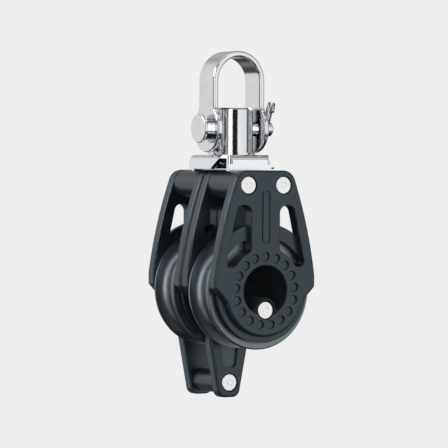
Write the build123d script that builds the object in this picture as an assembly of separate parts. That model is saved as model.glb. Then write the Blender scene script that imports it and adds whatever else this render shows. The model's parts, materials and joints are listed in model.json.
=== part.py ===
from build123d import *
import math
import os

# Double sheave block: two ball-bearing sheaves side by side in moulded half-shells, hung from a
# swivelling strap shackle, with a becket below the rear sheave.
#
# Millimetres. +Z points up to the shackle, Y is the axle line of the sheaves and X is the width.
# The origin is on the axle line, midway between the two sheaves. The front cheek is at -Y.

# ---- driving dimensions ---------------------------------------------------------------------
sheave_radius = 20.0
sheave_width = 13.0
groove_bottom_radius = 14.5
groove_half_width = 5.35
sheave_side_play = 0.6
cheek_thickness = 4.0
shell_gap = 0.6

# bearings
ball_radius = 1.55
ball_circle_radius = 11.6
balls_per_row = 22
race_play = 0.05
race_rib_half_width = 1.9
race_rib_radius = 12.0
row_offset = 3.5
retainer_width = 1.2
retainer_bore_radius = 10.7

# cheek outline
cheek_top = 40.6
cheek_top_half_width = 10.6
cheek_flank_bulge = (16.5, 22.4)
shoulder_half_width = 19.9
shoulder_top = 5.0
shoulder_bottom = 1.2
neck_end = (14.6, -4.2)
face_hub_radius = 15.5
rim_hub_radius = 17.6
face_layer_depth = 2.2
face_edge_radius = 0.95
inner_edge_radius = 0.5
opening_edge_radius = 0.45

# cheek windows
window_inner = 5.7
window_top = 28.7
window_outer_top = 11.0
window_outer_bottom = 15.75
window_bottom = 8.2
window_hub_radius = 14.6
window_top_fillet = 2.5
window_low_fillet = 1.5
slot_end_fillet = 1.2
web_inner_radius = 18.4
web_outer_radius = 22.9

# centre hole, dimples and face groove
centre_hole_radius = 8.5
centre_boss_radius = 4.3
centre_rivet_z = -6.5
dimple_count = 17
dimple_radius = 1.45
dimple_depth = 0.7
dimple_rim = 0.2
plaque_centre_z = 24.9
plaque_length = 18.0
plaque_width = 3.2
plaque_groove = 0.45
plaque_depth = 0.35

# head bridge and rivets
head_rivet_x = 6.95
head_rivet_z = 35.6
bridge_radius = 4.95
rivet_shank_radius = 1.95
rivet_hole_radius = 2.0
rivet_head_radius = 2.95
rivet_head_thickness = 1.1
counterbore_radius = 3.25
counterbore_depth = 1.25
spacer_radius = 4.0

# becket
becket_rivet_z = -32.3
becket_bottom = -37.4
becket_top = -10.0
becket_top_half_width = 9.3
becket_bottom_half_width = 3.95
becket_corner_radius = 2.8
becket_boss_radius = 3.9
becket_pocket_top = (3.5, -18.5)
becket_pocket_bottom = (2.45, -27.2)
becket_pocket_depth = 1.0

# head plate
plate_thickness = 1.6
plate_top = 45.8
plate_half_width = 8.5
plate_bend_radius = 2.4
tongue_bottom = 31.9
tongue_play = 0.05
wing_straight_end = 10.2
wing_cut_top = (-9.1, 44.6)
wing_cut_bottom = (-3.8, 40.9)
wing_root_x = 6.6
wing_bend_x = 10.5
wing_foot = (10.9, 41.0)
wing_bend_radius = 2.6

# swivel post
post_radius = 7.3
post_bottom = 46.55
post_top = 61.8
post_top_chamfer = 0.6
stud_radius = 4.5
stud_head_radius = 5.6
stud_bottom = 41.2
washer_radius = 8.0
washer_thickness = 0.7
lower_washer_radius = 6.8
lower_washer_thickness = 1.2
swivel_play = 0.05

# shackle and pin
shackle_inner_radius = 8.25
strap_thickness = 2.0
strap_width = 10.0
strap_edge_radius = 0.7
bow_centre_z = 70.95
pin_z = 54.7
eye_radius = 8.2
pin_radius = 2.45
pin_hole_radius = 2.5
pin_shoulder_radius = 3.75
pin_shoulder_length = 1.9
pin_head_radius = 4.9
pin_head_thickness = 1.2
pin_tip_reach = 5.5

# split ring
ring_wire_radius = 0.5
ring_radius = 7.2
ring_pitch = 1.5
ring_turns = 1.7
ring_hole_radius = 0.95
ring_hole_inset = 1.9
ring_inset_in_hole = 0.25
ring_lift = 20.0
ring_swing = 33.0

# ---- derived places -------------------------------------------------------------------------
half_shell_thickness = sheave_width / 2 + sheave_side_play + cheek_thickness
cheek_inner_face = half_shell_thickness - cheek_thickness
shell_offset = half_shell_thickness + shell_gap / 2
outer_face = shell_offset + half_shell_thickness
hub_radius = ball_circle_radius - ball_radius - race_play
race_radius = ball_circle_radius + ball_radius + race_play
leg_outer_face = shackle_inner_radius + strap_thickness
ring_hole_x = leg_outer_face + pin_tip_reach - ring_hole_inset


def slab(outline, y_low, y_high):
    """A plate between two Y planes; the outline's x and y become X and Z."""
    return extrude(Plane.XZ.offset(-y_high) * outline, amount=y_high - y_low)


def rod_y(radius, x, z, y_low, y_high):
    """A round bar along Y."""
    return slab(Pos(x, z) * Circle(radius), y_low, y_high)


def rod_x(radius, x_low, x_high, z):
    """A round bar along X, at the given height."""
    return extrude(Plane.YZ.offset(x_low) * Pos(0, z) * Circle(radius), amount=x_high - x_low)


def rod_z(radius, z_low, z_high):
    """A round bar along the swivel axis."""
    return extrude(Plane.XY.offset(z_low) * Circle(radius), amount=z_high - z_low)


def both_sides(shape):
    """A shape and its mirror image across the middle of the block's width."""
    return shape + mirror(shape, about=Plane.YZ)


# ---- moulded half-shells --------------------------------------------------------------------
def cheek_outline(lobe_radius, neck_radius):
    """Flat top, bulging flanks, square shoulders, and a round lobe about the axle."""
    flank_top = (cheek_top_half_width, cheek_top)
    flank_bottom = (shoulder_half_width, shoulder_top)
    right_half = make_face(
        [
            Line((0, cheek_top), flank_top),
            ThreePointArc(flank_top, cheek_flank_bulge, flank_bottom),
            Line(flank_bottom, (shoulder_half_width, shoulder_bottom)),
            Line((shoulder_half_width, shoulder_bottom), neck_end),
            Line(neck_end, (0, neck_end[1])),
            Line((0, neck_end[1]), (0, cheek_top)),
        ]
    )
    outline = right_half + mirror(right_half, about=Plane.YZ) + Circle(lobe_radius)
    top_corners = outline.vertices().filter_by(lambda v: v.Y > cheek_top - 0.1 and abs(v.X) > 1)
    outline = fillet(top_corners, bridge_radius - 0.2)
    shoulders = outline.vertices().filter_by(lambda v: abs(v.Y - shoulder_bottom) < 0.1)
    outline = fillet(shoulders, 1.0)
    necks = outline.vertices().filter_by(lambda v: -6 < v.Y < 0.2 and abs(v.X) > 13)
    return fillet(necks, neck_radius)


def window_outline():
    """Right-hand window: upright inner edge, slanted outer edge, arc below."""
    corners = [
        (window_inner, window_bottom),
        (window_inner, window_top),
        (window_outer_top, window_top),
        (window_outer_bottom, window_bottom),
    ]
    window = make_face(Polyline(*corners, close=True)) - Circle(window_hub_radius)
    upper = window.vertices().filter_by(lambda v: v.Y > window_top - 0.1)
    window = fillet(upper, window_top_fillet)
    lower = window.vertices().filter_by(lambda v: v.Y < window_hub_radius)
    return fillet(lower, window_low_fillet)


def window_through():
    """What is open right through: above and below the curved web."""
    window = window_outline()
    slot = window & Circle(web_inner_radius)
    slot_ends = slot.vertices().filter_by(
        lambda v: abs(math.hypot(v.X, v.Y) - web_inner_radius) < 0.05
    )
    return fillet(slot_ends, slot_end_fillet), window - Circle(web_outer_radius)


def centre_hole_outline():
    """Round hole with the rivet boss standing up into its lower edge."""
    hole = Circle(centre_hole_radius) - Pos(0, centre_rivet_z) * Circle(centre_boss_radius)
    return fillet(hole.vertices().filter_by(lambda v: abs(v.X) > 1), 1.1)


def plaque_outline():
    """A plain long groove around a blank label field."""
    outer = SlotOverall(plaque_length, plaque_width)
    inner = SlotOverall(plaque_length - 2 * plaque_groove, plaque_width - 2 * plaque_groove)
    return Pos(0, plaque_centre_z) * (Rot(0, 0, 90) * (outer - inner))


def becket_leg_outline():
    """Tapering leg that carries the becket rivet."""
    corners = [
        (-becket_top_half_width, becket_top),
        (becket_top_half_width, becket_top),
        (becket_bottom_half_width, becket_bottom),
        (-becket_bottom_half_width, becket_bottom),
    ]
    leg = make_face(Polyline(*corners, close=True))
    bottom = leg.vertices().filter_by(lambda v: v.Y < becket_bottom + 0.1)
    return fillet(bottom, becket_corner_radius)


def becket_pocket_outline():
    """Shallow tapering pocket in the becket leg."""
    top_x, top_z = becket_pocket_top
    low_x, low_z = becket_pocket_bottom
    pocket = make_face(Polyline((-top_x, top_z), (top_x, top_z), (low_x, low_z), (-low_x, low_z), close=True))
    low_corners = pocket.vertices().filter_by(lambda v: v.Y < low_z + 0.1)
    pocket = fillet(low_corners, 1.4)
    return fillet(pocket.vertices().filter_by(lambda v: v.Y > top_z - 0.1), 0.4)


def rivet_places(with_becket):
    """X and Z of every rivet through a half-shell."""
    places = [(-head_rivet_x, head_rivet_z), (head_rivet_x, head_rivet_z), (0, centre_rivet_z)]
    if with_becket:
        places.append((0, becket_rivet_z))
    return places


def half_shell(with_becket):
    """Front half of one shell. Its parting plane is y = 0 and its outer face is towards -Y."""
    outside = -half_shell_thickness
    inside = -cheek_inner_face
    step = outside + face_layer_depth

    face_outline = cheek_outline(face_hub_radius, 3.0)
    rim_outline = cheek_outline(rim_hub_radius, 1.0)
    if with_becket:
        face_outline = face_outline + becket_leg_outline()
        rim_outline = rim_outline + becket_leg_outline()

    face_layer = slab(face_outline, outside, step)
    rim_edges = face_layer.edges().filter_by_position(Axis.Y, outside - 0.01, outside + 0.01)
    face_layer = fillet(rim_edges, face_edge_radius)

    windows = both_sides(slab(window_outline(), outside, step))
    openings = slab(centre_hole_outline(), outside, step) + windows
    face_layer = face_layer - openings
    opening_rims = face_layer.edges().filter_by_position(Axis.Y, outside - 0.01, outside + 0.01)
    opening_rims = opening_rims.filter_by(
        lambda e: abs(e.center().X) < 16 and -9 < e.center().Z < window_top + 0.5
    )
    face_layer = fillet(opening_rims, opening_edge_radius)

    rim_layer = slab(rim_outline, step, inside)
    inner_edges = rim_layer.edges().filter_by_position(Axis.Y, inside - 0.01, inside + 0.01)
    rim_layer = fillet(inner_edges, inner_edge_radius)
    slot, upper_opening = window_through()
    rim_layer = rim_layer - both_sides(slab(slot, step, inside))
    rim_layer = rim_layer - both_sides(slab(upper_opening, step, inside))

    hub = rod_y(hub_radius, 0, 0, inside, 0)
    bridge = slab(Pos(0, head_rivet_z) * SlotCenterToCenter(2 * head_rivet_x, 2 * bridge_radius), inside, 0)
    shell = face_layer + rim_layer + hub + bridge
    if with_becket:
        shell = shell + rod_y(becket_boss_radius, 0, becket_rivet_z, inside, 0)
        shell = shell - slab(becket_pocket_outline(), outside, outside + becket_pocket_depth)
    shell = shell - slab(centre_hole_outline(), step, 0)

    tongue_half = plate_half_width + tongue_play
    tongue_depth = plate_thickness / 2 + tongue_play
    tongue_height = cheek_top + 1 - tongue_bottom + tongue_play
    tongue_slot = Rectangle(2 * tongue_half, tongue_height, align=(Align.CENTER, Align.MIN))
    shell = shell - slab(Pos(0, tongue_bottom - tongue_play) * tongue_slot, -tongue_depth, 0)

    for x, z in rivet_places(with_becket):
        shell = shell - rod_y(rivet_hole_radius, x, z, outside, 0)
        shell = shell - rod_y(counterbore_radius, x, z, outside, outside + counterbore_depth)

    for index in range(dimple_count):
        angle = math.radians(90 + 360 * index / dimple_count)
        x = ball_circle_radius * math.cos(angle)
        z = ball_circle_radius * math.sin(angle)
        countersink = Cone(dimple_radius, dimple_radius + dimple_rim, dimple_rim)
        shell = shell - rod_y(dimple_radius, x, z, outside, outside + dimple_depth)
        shell = shell - Pos(x, outside + dimple_rim / 2, z) * Rot(90, 0, 0) * countersink

    return shell - slab(plaque_outline(), outside, outside + plaque_depth)


# ---- sheaves and bearings -------------------------------------------------------------------
def sheave():
    """Grooved wheel about Y with a plain bore for two ball rows and a rib between them."""
    half = sheave_width / 2
    rim_round = 0.4
    profile = make_face(
        [
            Line((race_radius, -half), (sheave_radius - rim_round, -half)),
            Line((sheave_radius - rim_round, -half), (sheave_radius, rim_round - half)),
            Line((sheave_radius, rim_round - half), (sheave_radius, -groove_half_width)),
            ThreePointArc(
                (sheave_radius, -groove_half_width),
                (groove_bottom_radius, 0),
                (sheave_radius, groove_half_width),
            ),
            Line((sheave_radius, groove_half_width), (sheave_radius, half - rim_round)),
            Line((sheave_radius, half - rim_round), (sheave_radius - rim_round, half)),
            Line((sheave_radius - rim_round, half), (race_radius, half)),
            Polyline(
                (race_radius, half),
                (race_radius, race_rib_half_width),
                (race_rib_radius, race_rib_half_width),
                (race_rib_radius, -race_rib_half_width),
                (race_radius, -race_rib_half_width),
                (race_radius, -half),
            ),
        ]
    )
    return revolve(profile, Axis.Y, 360)


def sheave_half():
    """The half of a sheave on the -Y side of its middle plane, with one flange."""
    side = 2 * sheave_radius + 1
    return sheave() & Pos(0, -sheave_width / 4, 0) * Box(side, sheave_width / 2, side)


def ball_row(y):
    """One ring of loose balls."""
    balls = []
    for index in range(balls_per_row):
        angle = 360 * index / balls_per_row
        balls.append(Rot(0, angle, 0) * Pos(ball_circle_radius, y, 0) * Sphere(ball_radius))
    return Compound(children=balls)


def ball_retainers():
    """The two rings, one each side, that keep the balls in the sheave."""
    outer = sheave_width / 2
    inner = outer - retainer_width
    ring = Circle(race_radius) - Circle(retainer_bore_radius)
    return Compound(children=[slab(ring, -outer, -inner), slab(ring, inner, outer)])


# ---- rivets and spacers ---------------------------------------------------------------------
def rivet(x, z, y_low, y_high):
    """Riveted pin with a flat head, marked by a small punched ring, sunk at each end."""
    sink = counterbore_depth - rivet_head_thickness
    low = y_low + sink
    high = y_high - sink
    shank = rod_y(rivet_shank_radius, x, z, low, high)
    heads = rod_y(rivet_head_radius, x, z, low, low + rivet_head_thickness)
    heads = heads + rod_y(rivet_head_radius, x, z, high - rivet_head_thickness, high)
    body = shank + heads
    round_edges = body.edges().filter_by(GeomType.CIRCLE)
    ends = round_edges.filter_by_position(Axis.Y, low - 0.01, low + 0.01)
    ends = ends + round_edges.filter_by_position(Axis.Y, high - 0.01, high + 0.01)
    body = fillet(ends, 0.3)
    punch = Pos(x, z) * (Circle(1.25) - Circle(0.75))
    return body - slab(punch, low, low + 0.15) - slab(punch, high - 0.15, high)


def spacer_washers():
    """Thin washers on the three long rivets, between the two shells."""
    half_gap = shell_gap / 2
    washers = []
    for x, z in rivet_places(False):
        ring = rod_y(spacer_radius, x, z, -half_gap, half_gap)
        washers.append(ring - rod_y(rivet_hole_radius, x, z, -half_gap, half_gap))
    return Compound(children=washers)


# ---- head plate and swivel ------------------------------------------------------------------
def side_wing():
    """Flange bent down over the shells' right shoulders; one end is cut back at a slant."""
    foot_x, foot_z = wing_foot
    inner_z = plate_top - plate_thickness
    outer = FilletPolyline(
        (wing_root_x, plate_top), (wing_bend_x, plate_top), (foot_x, foot_z), radius=wing_bend_radius
    )
    inner = FilletPolyline(
        (wing_root_x, inner_z),
        (wing_bend_x - plate_thickness, inner_z),
        (foot_x - plate_thickness, foot_z),
        radius=wing_bend_radius - plate_thickness,
    )
    ends = [
        Line((wing_root_x, plate_top), (wing_root_x, inner_z)),
        Line((foot_x, foot_z), (foot_x - plate_thickness, foot_z)),
    ]
    section = make_face(outer.edges() + inner.edges() + ends)
    wing = slab(section, -wing_straight_end, -wing_cut_top[0])
    cut_y, cut_z = wing_cut_bottom
    cut = make_face(
        Polyline(
            (-wing_cut_top[0], wing_cut_top[1]),
            (-wing_cut_top[0] + 1, wing_cut_top[1]),
            (-wing_cut_top[0] + 1, cut_z - 1),
            (-cut_y, cut_z - 1),
            (-cut_y, cut_z),
            close=True,
        )
    )
    wing = wing - extrude(Plane.YZ * cut, amount=2 * foot_x)
    corners = wing.edges().filter_by(
        lambda e: e.center().Z < foot_z + 0.1 and e.length < 2 and abs(e.center().Y + wing_straight_end) < 0.1
    )
    return fillet(corners, 0.8)


def head_plate():
    """Bent plate: a flat top, two tongues down into the shells and two sloping side wings."""
    tongue_front = -shell_offset - plate_thickness / 2
    inner_radius = plate_bend_radius - plate_thickness
    outer_path = FilletPolyline(
        (tongue_front, tongue_bottom),
        (tongue_front, plate_top),
        (-tongue_front, plate_top),
        (-tongue_front, tongue_bottom),
        radius=plate_bend_radius,
    )
    inner_y = tongue_front + plate_thickness
    inner_z = plate_top - plate_thickness
    inner_path = FilletPolyline(
        (inner_y, tongue_bottom), (inner_y, inner_z), (-inner_y, inner_z), (-inner_y, tongue_bottom),
        radius=inner_radius,
    )
    ends = [
        Line((tongue_front, tongue_bottom), (inner_y, tongue_bottom)),
        Line((-inner_y, tongue_bottom), (-tongue_front, tongue_bottom)),
    ]
    section = make_face(outer_path.edges() + inner_path.edges() + ends)
    strap = extrude(Plane.YZ.offset(-plate_half_width) * section, amount=2 * plate_half_width)
    for x in (-head_rivet_x, head_rivet_x):
        strap = strap - rod_y(rivet_hole_radius, x, head_rivet_z, -outer_face, outer_face)

    # Each corner of the flat top is relieved where two bends would meet.
    relief = 1.5
    for x in (-plate_half_width, plate_half_width):
        for y in (tongue_front, -tongue_front):
            strap = strap - Pos(x, y, plate_top) * Cylinder(relief, 4 * plate_thickness)

    plate = strap + side_wing() + Rot(0, 0, 180) * side_wing()
    return plate - rod_z(stud_radius + swivel_play, inner_z - 1, plate_top + 1)


def swivel_post():
    """Polished barrel, cross-drilled for the shackle pin, with a stud through the head plate."""
    barrel = rod_z(post_radius, post_bottom, post_top)
    top_edge = barrel.edges().filter_by_position(Axis.Z, post_top - 0.01, post_top + 0.01)
    barrel = chamfer(top_edge, post_top_chamfer)
    head_top = plate_top - plate_thickness - swivel_play - lower_washer_thickness
    stud = rod_z(stud_radius, stud_bottom, post_bottom)
    peened = rod_z(stud_head_radius, stud_bottom, head_top)
    peened = chamfer(peened.edges().filter_by_position(Axis.Z, stud_bottom - 0.01, stud_bottom + 0.01), 0.5)
    cross_hole = rod_x(pin_hole_radius, -post_radius - 1, post_radius + 1, pin_z)
    return barrel + stud + peened - cross_hole


def ring_around_stud(radius, z_low, thickness):
    """A washer round the stud."""
    return rod_z(radius, z_low, z_low + thickness) - rod_z(stud_radius, z_low - 1, z_low + thickness + 1)


# ---- shackle --------------------------------------------------------------------------------
def shackle_bow():
    """Flat strap bent over a round crown, with a round eye at the foot of each leg."""
    outer_radius = shackle_inner_radius + strap_thickness
    foot = pin_z - eye_radius
    crown = Pos(0, bow_centre_z) * (Circle(outer_radius) - Circle(shackle_inner_radius))
    crown = crown & Pos(0, bow_centre_z + outer_radius) * Rectangle(4 * outer_radius, 2 * outer_radius)
    leg_shape = Rectangle(strap_thickness, bow_centre_z - foot, align=(Align.MIN, Align.MIN))
    leg = Pos(shackle_inner_radius, foot) * leg_shape
    arch = slab(crown + leg + mirror(leg, about=Plane.YZ), -eye_radius, eye_radius)

    straight = Rectangle(strap_width, 100, align=(Align.CENTER, Align.MIN))
    profile = Circle(eye_radius) + straight
    waist = profile.vertices().filter_by(lambda v: 0 < v.Y < eye_radius)
    profile = fillet(waist, 5.0)
    side_profile = Plane.YZ.offset(-2 * outer_radius) * (Pos(0, pin_z) * profile)
    bow = arch & extrude(side_profile, amount=4 * outer_radius)
    bow = fillet(bow.edges(), strap_edge_radius)
    bow = bow - rod_x(pin_hole_radius, -2 * outer_radius, 2 * outer_radius, pin_z)
    return bow


def clevis_pin():
    """Headed pin with a cross-drilled tip for the split ring."""
    shoulder_end = -leg_outer_face - swivel_play
    head_start = shoulder_end - pin_shoulder_length
    tip = leg_outer_face + pin_tip_reach
    shaft = rod_x(pin_radius, head_start, tip, pin_z)
    shaft = chamfer(shaft.edges().filter_by_position(Axis.X, tip - 0.01, tip + 0.01), 0.5)
    shoulder = rod_x(pin_shoulder_radius, head_start, shoulder_end, pin_z)
    head = rod_x(pin_head_radius, head_start - pin_head_thickness, head_start, pin_z)
    head = fillet(head.edges().filter_by(GeomType.CIRCLE), 0.35)
    cross_hole = Cylinder(ring_hole_radius, 4 * pin_radius)
    place = Pos(ring_hole_x, 0, pin_z) * Rot(ring_lift, 0, 0)
    return shaft + shoulder + head - place * cross_hole


def cotter_ring():
    """Split ring of nearly two open turns; only its middle turn passes through the pin."""
    height = ring_pitch * ring_turns
    path = Helix(ring_pitch, height, ring_radius)
    start = Plane(origin=path @ 0, z_dir=path % 0)
    coil = sweep(start * Circle(ring_wire_radius), path=path, is_frenet=True)
    middle_turned_in = Rot(0, 0, 180 - 180 * ring_turns) * Pos(0, 0, -height / 2) * coil
    beside_pin = Pos(ring_radius - ring_inset_in_hole, 0, 0) * Rot(90, 0, 0) * middle_turned_in
    swung = Rot(ring_lift, 0, 0) * Rot(0, 0, 90 - ring_swing) * beside_pin
    return Pos(ring_hole_x, 0, pin_z) * swung


# ---- assembly -------------------------------------------------------------------------------
plain_half = half_shell(False)
becket_half = half_shell(True)
front_place = Pos(0, -shell_offset, 0)
rear_place = Pos(0, shell_offset, 0)

nodes = {
    "shackle_bow": shackle_bow(),
    "clevis_pin": clevis_pin(),
    "cotter_ring": cotter_ring(),
    "swivel_post": swivel_post(),
    "upper_swivel_washer": ring_around_stud(washer_radius, plate_top + swivel_play, washer_thickness),
    "lower_swivel_washer": ring_around_stud(
        lower_washer_radius,
        plate_top - plate_thickness - swivel_play - lower_washer_thickness,
        lower_washer_thickness,
    ),
    "head_plate": head_plate(),
    "front_outer_cheek": front_place * plain_half,
    "front_inner_cheek": front_place * mirror(plain_half, about=Plane.XZ),
    "rear_inner_cheek": rear_place * becket_half,
    "rear_outer_cheek": rear_place * mirror(becket_half, about=Plane.XZ),
    "left_head_rivet": rivet(-head_rivet_x, head_rivet_z, -outer_face, outer_face),
    "right_head_rivet": rivet(head_rivet_x, head_rivet_z, -outer_face, outer_face),
    "centre_rivet": rivet(0, centre_rivet_z, -outer_face, outer_face),
    "becket_rivet": rivet(0, becket_rivet_z, shell_gap / 2, outer_face),
    "spacer_washers": spacer_washers(),
}
near_half = sheave_half()
far_half = mirror(near_half, about=Plane.XZ)
for side, place in (("front", front_place), ("rear", rear_place)):
    nodes[side + "_sheave_near_half"] = place * near_half
    nodes[side + "_sheave_far_half"] = place * far_half
    nodes[side + "_ball_retainers"] = place * ball_retainers()
    nodes[side + "_balls_row_a"] = place * ball_row(-row_offset)
    nodes[side + "_balls_row_b"] = place * ball_row(row_offset)

os.makedirs("parts", exist_ok=True)
for name, shape in nodes.items():
    export_step(shape, f"parts/{name}.step")
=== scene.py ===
import json
import math

import bmesh
import bpy
from mathutils import Matrix, Vector


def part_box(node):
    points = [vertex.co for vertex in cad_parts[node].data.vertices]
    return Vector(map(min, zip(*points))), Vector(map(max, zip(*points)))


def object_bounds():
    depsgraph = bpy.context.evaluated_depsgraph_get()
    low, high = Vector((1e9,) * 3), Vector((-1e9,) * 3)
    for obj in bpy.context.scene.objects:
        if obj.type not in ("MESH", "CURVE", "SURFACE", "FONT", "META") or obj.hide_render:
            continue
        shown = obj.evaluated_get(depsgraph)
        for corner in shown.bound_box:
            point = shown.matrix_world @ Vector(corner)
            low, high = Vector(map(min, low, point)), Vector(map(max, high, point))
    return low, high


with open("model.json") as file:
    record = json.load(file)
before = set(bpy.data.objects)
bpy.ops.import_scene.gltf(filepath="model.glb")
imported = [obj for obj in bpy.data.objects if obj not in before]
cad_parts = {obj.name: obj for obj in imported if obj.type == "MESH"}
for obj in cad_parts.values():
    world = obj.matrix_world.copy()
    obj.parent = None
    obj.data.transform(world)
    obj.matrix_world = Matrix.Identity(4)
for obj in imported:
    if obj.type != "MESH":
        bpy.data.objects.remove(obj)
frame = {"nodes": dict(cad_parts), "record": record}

cad_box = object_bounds()

MM = 0.001

# ---- camera and studio ----------------------------------------------------------------------
CAMERA_AZIMUTH = math.radians(-31.6)
CAMERA_ELEVATION = math.radians(1.16)
CAMERA_ROLL = math.radians(0.35)
CAMERA_DISTANCE = 1.022
CAMERA_LENS = 239.6
CAMERA_SENSOR = 36
CAMERA_NEAR_CLIP = 0.01
AIM_RIGHT = -2.4 * MM
AIM_UP = 22.1 * MM
BACKDROP_GREY = 0.855
FLOOR_DROP = 0.30
FLOOR_RADIUS = 2.0
FLOOR_FADE_RADIUS = 0.45 * FLOOR_RADIUS
FLOOR_SIDES = 96
FLOOR_GREY = 0.86
FLOOR_ROUGHNESS = 0.9

# ---- where painted light and shade and the turned rings go on a piece -----------------------
# Depths below a cheek's outer face between which lie the floors coloured lighter as painted light.
RECESS_FROM = 0.85 * MM
RECESS_TO = 1.6 * MM
CHEEKS_FACING_FRONT = ("front_outer_cheek", "rear_inner_cheek")
# A floor faces outwards when its normal's share along the axle line is at least this.
FACING_OUTWARDS = 0.97
BORE_WALL_RADIUS = 8.6 * MM
TURNED_RING_PITCH = 0.25 * MM


def view_axes():
    """Right, up and backward directions of the camera before its small roll."""
    a, e = CAMERA_AZIMUTH, CAMERA_ELEVATION
    right = Vector((math.cos(a), math.sin(a), 0))
    back = Vector((math.sin(a) * math.cos(e), -math.cos(a) * math.cos(e), math.sin(e)))
    return right, back.cross(right), back


def add_camera():
    right, up, back = view_axes()
    camera = bpy.data.objects.new("camera", bpy.data.cameras.new("camera"))
    bpy.context.collection.objects.link(camera)
    aim = right * AIM_RIGHT + up * AIM_UP
    turn = Matrix((right, up, back)).transposed().to_4x4()
    roll = Matrix.Rotation(CAMERA_ROLL, 4, "Z")
    camera.matrix_world = Matrix.Translation(aim + back * CAMERA_DISTANCE) @ turn @ roll
    camera.data.lens = CAMERA_LENS
    camera.data.sensor_width = CAMERA_SENSOR
    camera.data.clip_start = CAMERA_NEAR_CLIP
    bpy.context.scene.camera = camera


def add_floor():
    """A pale round floor well below the block: its rim fades out, and glossy surfaces don't show it."""
    mesh = bpy.data.meshes.new("floor")
    bm = bmesh.new()
    bmesh.ops.create_circle(bm, cap_ends=True, segments=FLOOR_SIDES, radius=FLOOR_RADIUS)
    bm.to_mesh(mesh)
    bm.free()
    floor = bpy.data.objects.new("floor", mesh)
    floor.location.z = cad_box[0][2] - FLOOR_DROP
    bpy.context.collection.objects.link(floor)
    floor.visible_glossy = False
    material, tree, shader = new_material("floor_paint")
    shader.inputs["Base Color"].default_value = (FLOOR_GREY, FLOOR_GREY, FLOOR_GREY, 1)
    shader.inputs["Roughness"].default_value = FLOOR_ROUGHNESS
    radius = vector_maths(tree, "LENGTH", coordinates(tree)).outputs["Value"]
    fade = spread(tree, radius, 0, 1, FLOOR_RADIUS, FLOOR_FADE_RADIUS)
    tree.links.new(fade, shader.inputs["Alpha"])
    mesh.materials.append(material)


# Bands of the studio round the block: degrees from the camera towards its right, and brightness.
STUDIO_BANDS = (
    (-180, 0.40), (-140, 0.80), (-101, 0.90), (-97, 0.10), (-84, 0.12), (-80, 0.62), (-62, 0.50),
    (-46, 0.30), (-42, 0.04), (-34, 0.06), (-30, 0.45), (-24, 0.40), (-20, 0.08), (-16, 0.10),
    (-14, 3.00), (1, 3.00), (4, 0.01), (31, 0.01), (35, 1.15), (56, 1.05), (88, 0.95), (92, 0.08),
    (101, 0.10), (106, 0.42), (140, 0.35), (148, 0.06), (166, 0.10), (180, 0.40),
)
# Brightness against height: the sine of the elevation, and a factor.
STUDIO_HEIGHTS = (
    (-1.0, 0.03), (-0.70, 0.06), (-0.58, 0.55), (-0.50, 0.10), (-0.36, 0.08), (-0.30, 0.95),
    (-0.12, 1.0), (0.48, 1.0), (0.55, 0.40), (0.66, 0.45), (0.74, 1.0), (1.0, 1.0),
)


def ramp_of(tree, stops, low, high):
    """A grey colour ramp over the stops; each position is given in the units of low and high."""
    ramp = tree.nodes.new("ShaderNodeValToRGB")
    elements = ramp.color_ramp.elements
    while len(elements) < len(stops):
        elements.new(0.5)
    for element, (place, value) in zip(elements, stops):
        element.position = (place - low) / (high - low)
    for element, (place, value) in zip(elements, stops):
        element.color = (value, value, value, 1)
    return ramp


def add_world():
    """Studio surroundings: light panels and dark gaps about the block, plain grey to the camera."""
    world = bpy.data.worlds.new("studio")
    world.use_nodes = True
    bpy.context.scene.world = world
    tree = world.node_tree
    nodes, links = tree.nodes, tree.links
    nodes.clear()
    direction = nodes.new("ShaderNodeTexCoord")
    turned = nodes.new("ShaderNodeVectorRotate")
    turned.rotation_type = "Z_AXIS"
    turned.inputs["Angle"].default_value = -CAMERA_AZIMUTH
    links.new(direction.outputs["Generated"], turned.inputs["Vector"])
    split = nodes.new("ShaderNodeSeparateXYZ")
    links.new(turned.outputs["Vector"], split.inputs["Vector"])

    towards = maths(tree, "MULTIPLY", split.outputs["Y"], -1)
    bearing = maths(tree, "ARCTAN2", split.outputs["X"], towards)
    bands = ramp_of(tree, STUDIO_BANDS, -180, 180)
    links.new(spread(tree, bearing, 0, 1, -math.pi, math.pi), bands.inputs["Fac"])
    heights = ramp_of(tree, STUDIO_HEIGHTS, -1, 1)
    links.new(spread(tree, split.outputs["Z"], 0, 1, -1, 1), heights.inputs["Fac"])

    studio = nodes.new("ShaderNodeMix")
    studio.data_type = "RGBA"
    studio.blend_type = "MULTIPLY"
    studio.inputs["Factor"].default_value = 1
    links.new(bands.outputs["Color"], studio.inputs["A"])
    links.new(heights.outputs["Color"], studio.inputs["B"])

    lit = nodes.new("ShaderNodeBackground")
    links.new(studio.outputs["Result"], lit.inputs["Color"])
    seen = nodes.new("ShaderNodeBackground")
    seen.inputs["Color"].default_value = (BACKDROP_GREY, BACKDROP_GREY, BACKDROP_GREY, 1)
    path = nodes.new("ShaderNodeLightPath")
    mix = nodes.new("ShaderNodeMixShader")
    out = nodes.new("ShaderNodeOutputWorld")
    links.new(path.outputs["Is Camera Ray"], mix.inputs["Fac"])
    links.new(lit.outputs["Background"], mix.inputs[1])
    links.new(seen.outputs["Background"], mix.inputs[2])
    links.new(mix.outputs["Shader"], out.inputs["Surface"])


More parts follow.
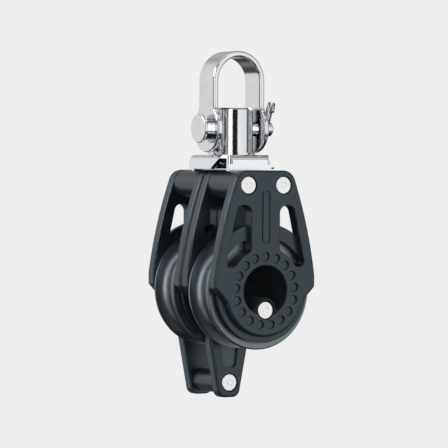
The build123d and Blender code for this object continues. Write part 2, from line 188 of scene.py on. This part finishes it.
def add_lights():
    """Soft panels aimed at the block; only the high left one shows in glossy surfaces."""
    right, up, back = view_axes()
    # Name, place, side in metres, power in watts, and whether it shows in glossy surfaces.
    panels = (
        ("key", right * 0.9 + back * 0.9 + up * 0.9, 0.7, 5.0, False),
        ("fill", right * -1.2 + back * 0.5 + up * 0.3, 0.8, 4.0, False),
        ("high_left", right * -1.15 + back * 0.10 + up * 0.62, 0.55, 7.0, True),
    )
    for name, place, size, power, shows in panels:
        light = bpy.data.objects.new(name, bpy.data.lights.new(name, "AREA"))
        light.data.size = size
        light.data.energy = power
        light.location = place
        light.rotation_euler = place.to_track_quat("Z", "Y").to_euler()
        light.visible_camera = False
        light.visible_glossy = shows
        bpy.context.collection.objects.link(light)


# ---- materials ------------------------------------------------------------------------------
def new_material(name):
    material = bpy.data.materials.new(name)
    material.use_nodes = True
    return material, material.node_tree, material.node_tree.nodes["Principled BSDF"]


def coordinates(tree):
    """Position on the part in metres; each node keeps the shared frame as its object space."""
    return tree.nodes.new("ShaderNodeTexCoord").outputs["Object"]


def noise(tree, vector, size, detail=2.0, roughness=0.5):
    """Noise whose grains are about the given size in metres."""
    node = tree.nodes.new("ShaderNodeTexNoise")
    node.inputs["Scale"].default_value = 1 / size
    node.inputs["Detail"].default_value = detail
    node.inputs["Roughness"].default_value = roughness
    tree.links.new(vector, node.inputs["Vector"])
    return node.outputs["Fac"]


def spread(tree, value, low, high, from_low=0.3, from_high=0.7):
    """Maps a texture value to the range low to high."""
    node = tree.nodes.new("ShaderNodeMapRange")
    node.inputs["From Min"].default_value = from_low
    node.inputs["From Max"].default_value = from_high
    node.inputs["To Min"].default_value = low
    node.inputs["To Max"].default_value = high
    tree.links.new(value, node.inputs["Value"])
    return node.outputs["Result"]


def tint(tree, value, dark, light):
    """A colour between dark and light by a texture value."""
    node = tree.nodes.new("ShaderNodeMix")
    node.data_type = "RGBA"
    node.inputs["A"].default_value = (*dark, 1)
    node.inputs["B"].default_value = (*light, 1)
    tree.links.new(value, node.inputs["Factor"])
    return node.outputs["Result"]


def bump(tree, shader, height, distance, strength=1.0):
    """Raises the surface by a texture value times a distance in metres."""
    node = tree.nodes.new("ShaderNodeBump")
    node.inputs["Strength"].default_value = strength
    node.inputs["Distance"].default_value = distance
    tree.links.new(height, node.inputs["Height"])
    tree.links.new(node.outputs["Normal"], shader.inputs["Normal"])


def blend(tree, factor, first, second):
    """The first colour where the factor is zero and the second where it is one."""
    node = tree.nodes.new("ShaderNodeMix")
    node.data_type = "RGBA"
    tree.links.new(factor, node.inputs["Factor"])
    tree.links.new(first, node.inputs["A"])
    tree.links.new(second, node.inputs["B"])
    return node.outputs["Result"]


def maths(tree, operation, value, other=0):
    """Applies an operation to a value and a second value, which may be a plain number."""
    node = tree.nodes.new("ShaderNodeMath")
    node.operation = operation
    tree.links.new(value, node.inputs[0])
    if isinstance(other, (int, float)):
        node.inputs[1].default_value = other
    else:
        tree.links.new(other, node.inputs[1])
    return node.outputs["Value"]


def vector_maths(tree, operation, vector, other=(0, 0, 0)):
    """A node that applies an operation to a vector and a fixed one."""
    node = tree.nodes.new("ShaderNodeVectorMath")
    node.operation = operation
    node.inputs[1].default_value = other
    tree.links.new(vector, node.inputs[0])
    return node


def distance_from_axis(tree, where, centre=(0, 0, 0)):
    """Distance in metres from the line through the centre along the axle direction."""
    offset = vector_maths(tree, "SUBTRACT", where, centre).outputs["Vector"]
    flat = vector_maths(tree, "MULTIPLY", offset, (1, 0, 1)).outputs["Vector"]
    return vector_maths(tree, "LENGTH", flat).outputs["Value"]


def along_axle(tree, vector):
    """The share of a vector along the axle direction."""
    split = tree.nodes.new("ShaderNodeSeparateXYZ")
    tree.links.new(vector, split.inputs["Vector"])
    return split.outputs["Y"]


def floors_given_painted_light(tree, where, node_name):
    """One on the sunk floors below a cheek's outer face that get painted light, zero elsewhere."""
    low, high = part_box(node_name)
    if node_name in CHEEKS_FACING_FRONT:
        face, inwards, nearer, deeper = low[1], 1, "LESS_THAN", "GREATER_THAN"
    else:
        face, inwards, nearer, deeper = high[1], -1, "GREATER_THAN", "LESS_THAN"
    normal = along_axle(tree, tree.nodes.new("ShaderNodeTexCoord").outputs["Normal"])
    place = along_axle(tree, where)
    outwards = maths(tree, nearer, normal, -inwards * FACING_OUTWARDS)
    sunk = maths(tree, deeper, place, face + inwards * RECESS_FROM)
    shallow = maths(tree, nearer, place, face + inwards * RECESS_TO)
    return maths(tree, "MULTIPLY", outwards, maths(tree, "MULTIPLY", sunk, shallow))


def inside_bore(tree, where):
    """One on and within the wall of the centre hole, zero elsewhere."""
    return maths(tree, "LESS_THAN", distance_from_axis(tree, where), BORE_WALL_RADIUS)


def moulded_nylon(node_name):
    """Satin blue-black moulding, with painted light on the floors of its pockets and painted shade,
    dull, in the centre hole.
    """
    material, tree, shader = new_material("moulded_nylon_" + node_name)
    where = coordinates(tree)
    mottling = noise(tree, where, 4 * MM, 3)
    grain = noise(tree, where, 0.22 * MM, 3, 0.6)
    body = tint(tree, mottling, (0.0050, 0.0095, 0.0150), (0.0080, 0.0130, 0.0190))
    # Painted light: sunk floors facing out are coloured lighter, as if catching the light.
    floor = tint(tree, mottling, (0.040, 0.052, 0.064), (0.052, 0.066, 0.078))
    with_painted_floor_light = blend(tree, floors_given_painted_light(tree, where, node_name), body, floor)
    # Painted shade: the centre hole is coloured near black.
    painted_bore_shade = tint(tree, mottling, (0.0012, 0.0016, 0.0022), (0.0020, 0.0026, 0.0034))
    in_bore = inside_bore(tree, where)
    colour = blend(tree, in_bore, with_painted_floor_light, painted_bore_shade)
    tree.links.new(colour, shader.inputs["Base Color"])
    satin = spread(tree, grain, 0.26, 0.38)
    dull = spread(tree, grain, 0.80, 0.95)
    shine = tree.nodes.new("ShaderNodeMix")
    tree.links.new(in_bore, shine.inputs["Factor"])
    tree.links.new(satin, shine.inputs["A"])
    tree.links.new(dull, shine.inputs["B"])
    tree.links.new(shine.outputs["Result"], shader.inputs["Roughness"])
    shader.inputs["Specular IOR Level"].default_value = 0.72
    shader.inputs["Specular Tint"].default_value = (0.76, 0.93, 1.0, 1)
    bump(tree, shader, grain, 0.020 * MM, 0.6)
    return material


def sheave_acetal():
    material, tree, shader = new_material("sheave_acetal")
    where = coordinates(tree)
    haze = noise(tree, where, 3 * MM, 2)
    colour = tint(tree, haze, (0.008, 0.012, 0.017), (0.012, 0.017, 0.023))
    tree.links.new(colour, shader.inputs["Base Color"])
    tree.links.new(spread(tree, haze, 0.30, 0.36), shader.inputs["Roughness"])
    shader.inputs["IOR"].default_value = 1.95
    shader.inputs["Specular IOR Level"].default_value = 1.0
    shader.inputs["Specular Tint"].default_value = (0.82, 0.93, 1.0, 1)
    bump(tree, shader, noise(tree, where, 0.5 * MM), 0.006 * MM)
    return material


def ball_acetal(name, dark, light):
    material, tree, shader = new_material(name)
    where = coordinates(tree)
    haze = noise(tree, where, 1 * MM, 2)
    tree.links.new(tint(tree, haze, dark, light), shader.inputs["Base Color"])
    tree.links.new(spread(tree, haze, 0.22, 0.32), shader.inputs["Roughness"])
    return material


def polished_steel(name, dark, light, smooth, rough):
    material, tree, shader = new_material(name)
    where = coordinates(tree)
    cloud = noise(tree, where, 5 * MM, 3)
    scratches = noise(tree, where, 0.3 * MM, 4, 0.7)
    shader.inputs["Metallic"].default_value = 1.0
    tree.links.new(tint(tree, cloud, dark, light), shader.inputs["Base Color"])
    tree.links.new(spread(tree, scratches, smooth, rough), shader.inputs["Roughness"])
    bump(tree, shader, cloud, 0.010 * MM)
    return material


def rivet_steel(node_name):
    """Satin steel with fine turned rings about the middle of the node, the axis of a single rivet."""
    low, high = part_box(node_name)
    centre = [(a + b) / 2 for a, b in zip(low, high)]
    material, tree, shader = new_material("rivet_steel_" + node_name)
    where = coordinates(tree)
    radius = distance_from_axis(tree, where, centre)
    rings = maths(tree, "SINE", maths(tree, "MULTIPLY", radius, 2 * math.pi / TURNED_RING_PITCH))
    shader.inputs["Metallic"].default_value = 1.0
    cloud = noise(tree, where, 0.8 * MM, 3)
    colour = tint(tree, cloud, (0.86, 0.87, 0.87), (0.96, 0.96, 0.96))
    tree.links.new(colour, shader.inputs["Base Color"])
    tree.links.new(spread(tree, cloud, 0.28, 0.42), shader.inputs["Roughness"])
    bump(tree, shader, rings, 0.003 * MM)
    return material


def dress(node_name, material):
    """Gives a CAD node its finish."""
    mesh = frame["nodes"][node_name].data
    mesh.materials.clear()
    mesh.materials.append(material)


def dress_all():
    acetal = sheave_acetal()
    balls = ball_acetal("ball_acetal", (0.70, 0.70, 0.66), (0.80, 0.80, 0.77))
    retainer = ball_acetal("retainer_acetal", (0.018, 0.019, 0.021), (0.028, 0.029, 0.032))
    polished = polished_steel("polished_steel", (0.66, 0.67, 0.69), (0.78, 0.79, 0.80), 0.09, 0.14)
    plate = polished_steel("plate_steel", (0.77, 0.78, 0.79), (0.87, 0.87, 0.88), 0.10, 0.17)
    wire = polished_steel("ring_wire", (0.62, 0.63, 0.65), (0.78, 0.79, 0.80), 0.06, 0.16)
    by_slot = {
        "sheave_acetal": acetal, "ball_acetal": balls, "retainer_acetal": retainer,
        "polished_steel": polished, "plate_steel": plate, "ring_wire": wire,
    }
    for part in frame["record"]["subparts"]:
        slot = part["material_slot"]
        if slot == "moulded_nylon":
            finish = moulded_nylon(part["node"])
        elif slot == "rivet_steel":
            finish = rivet_steel(part["node"])
        else:
            finish = by_slot[slot]
        dress(part["node"], finish)


bpy.context.scene.view_settings.view_transform = "Standard"
add_camera()
add_floor()
add_world()
add_lights()
dress_all()
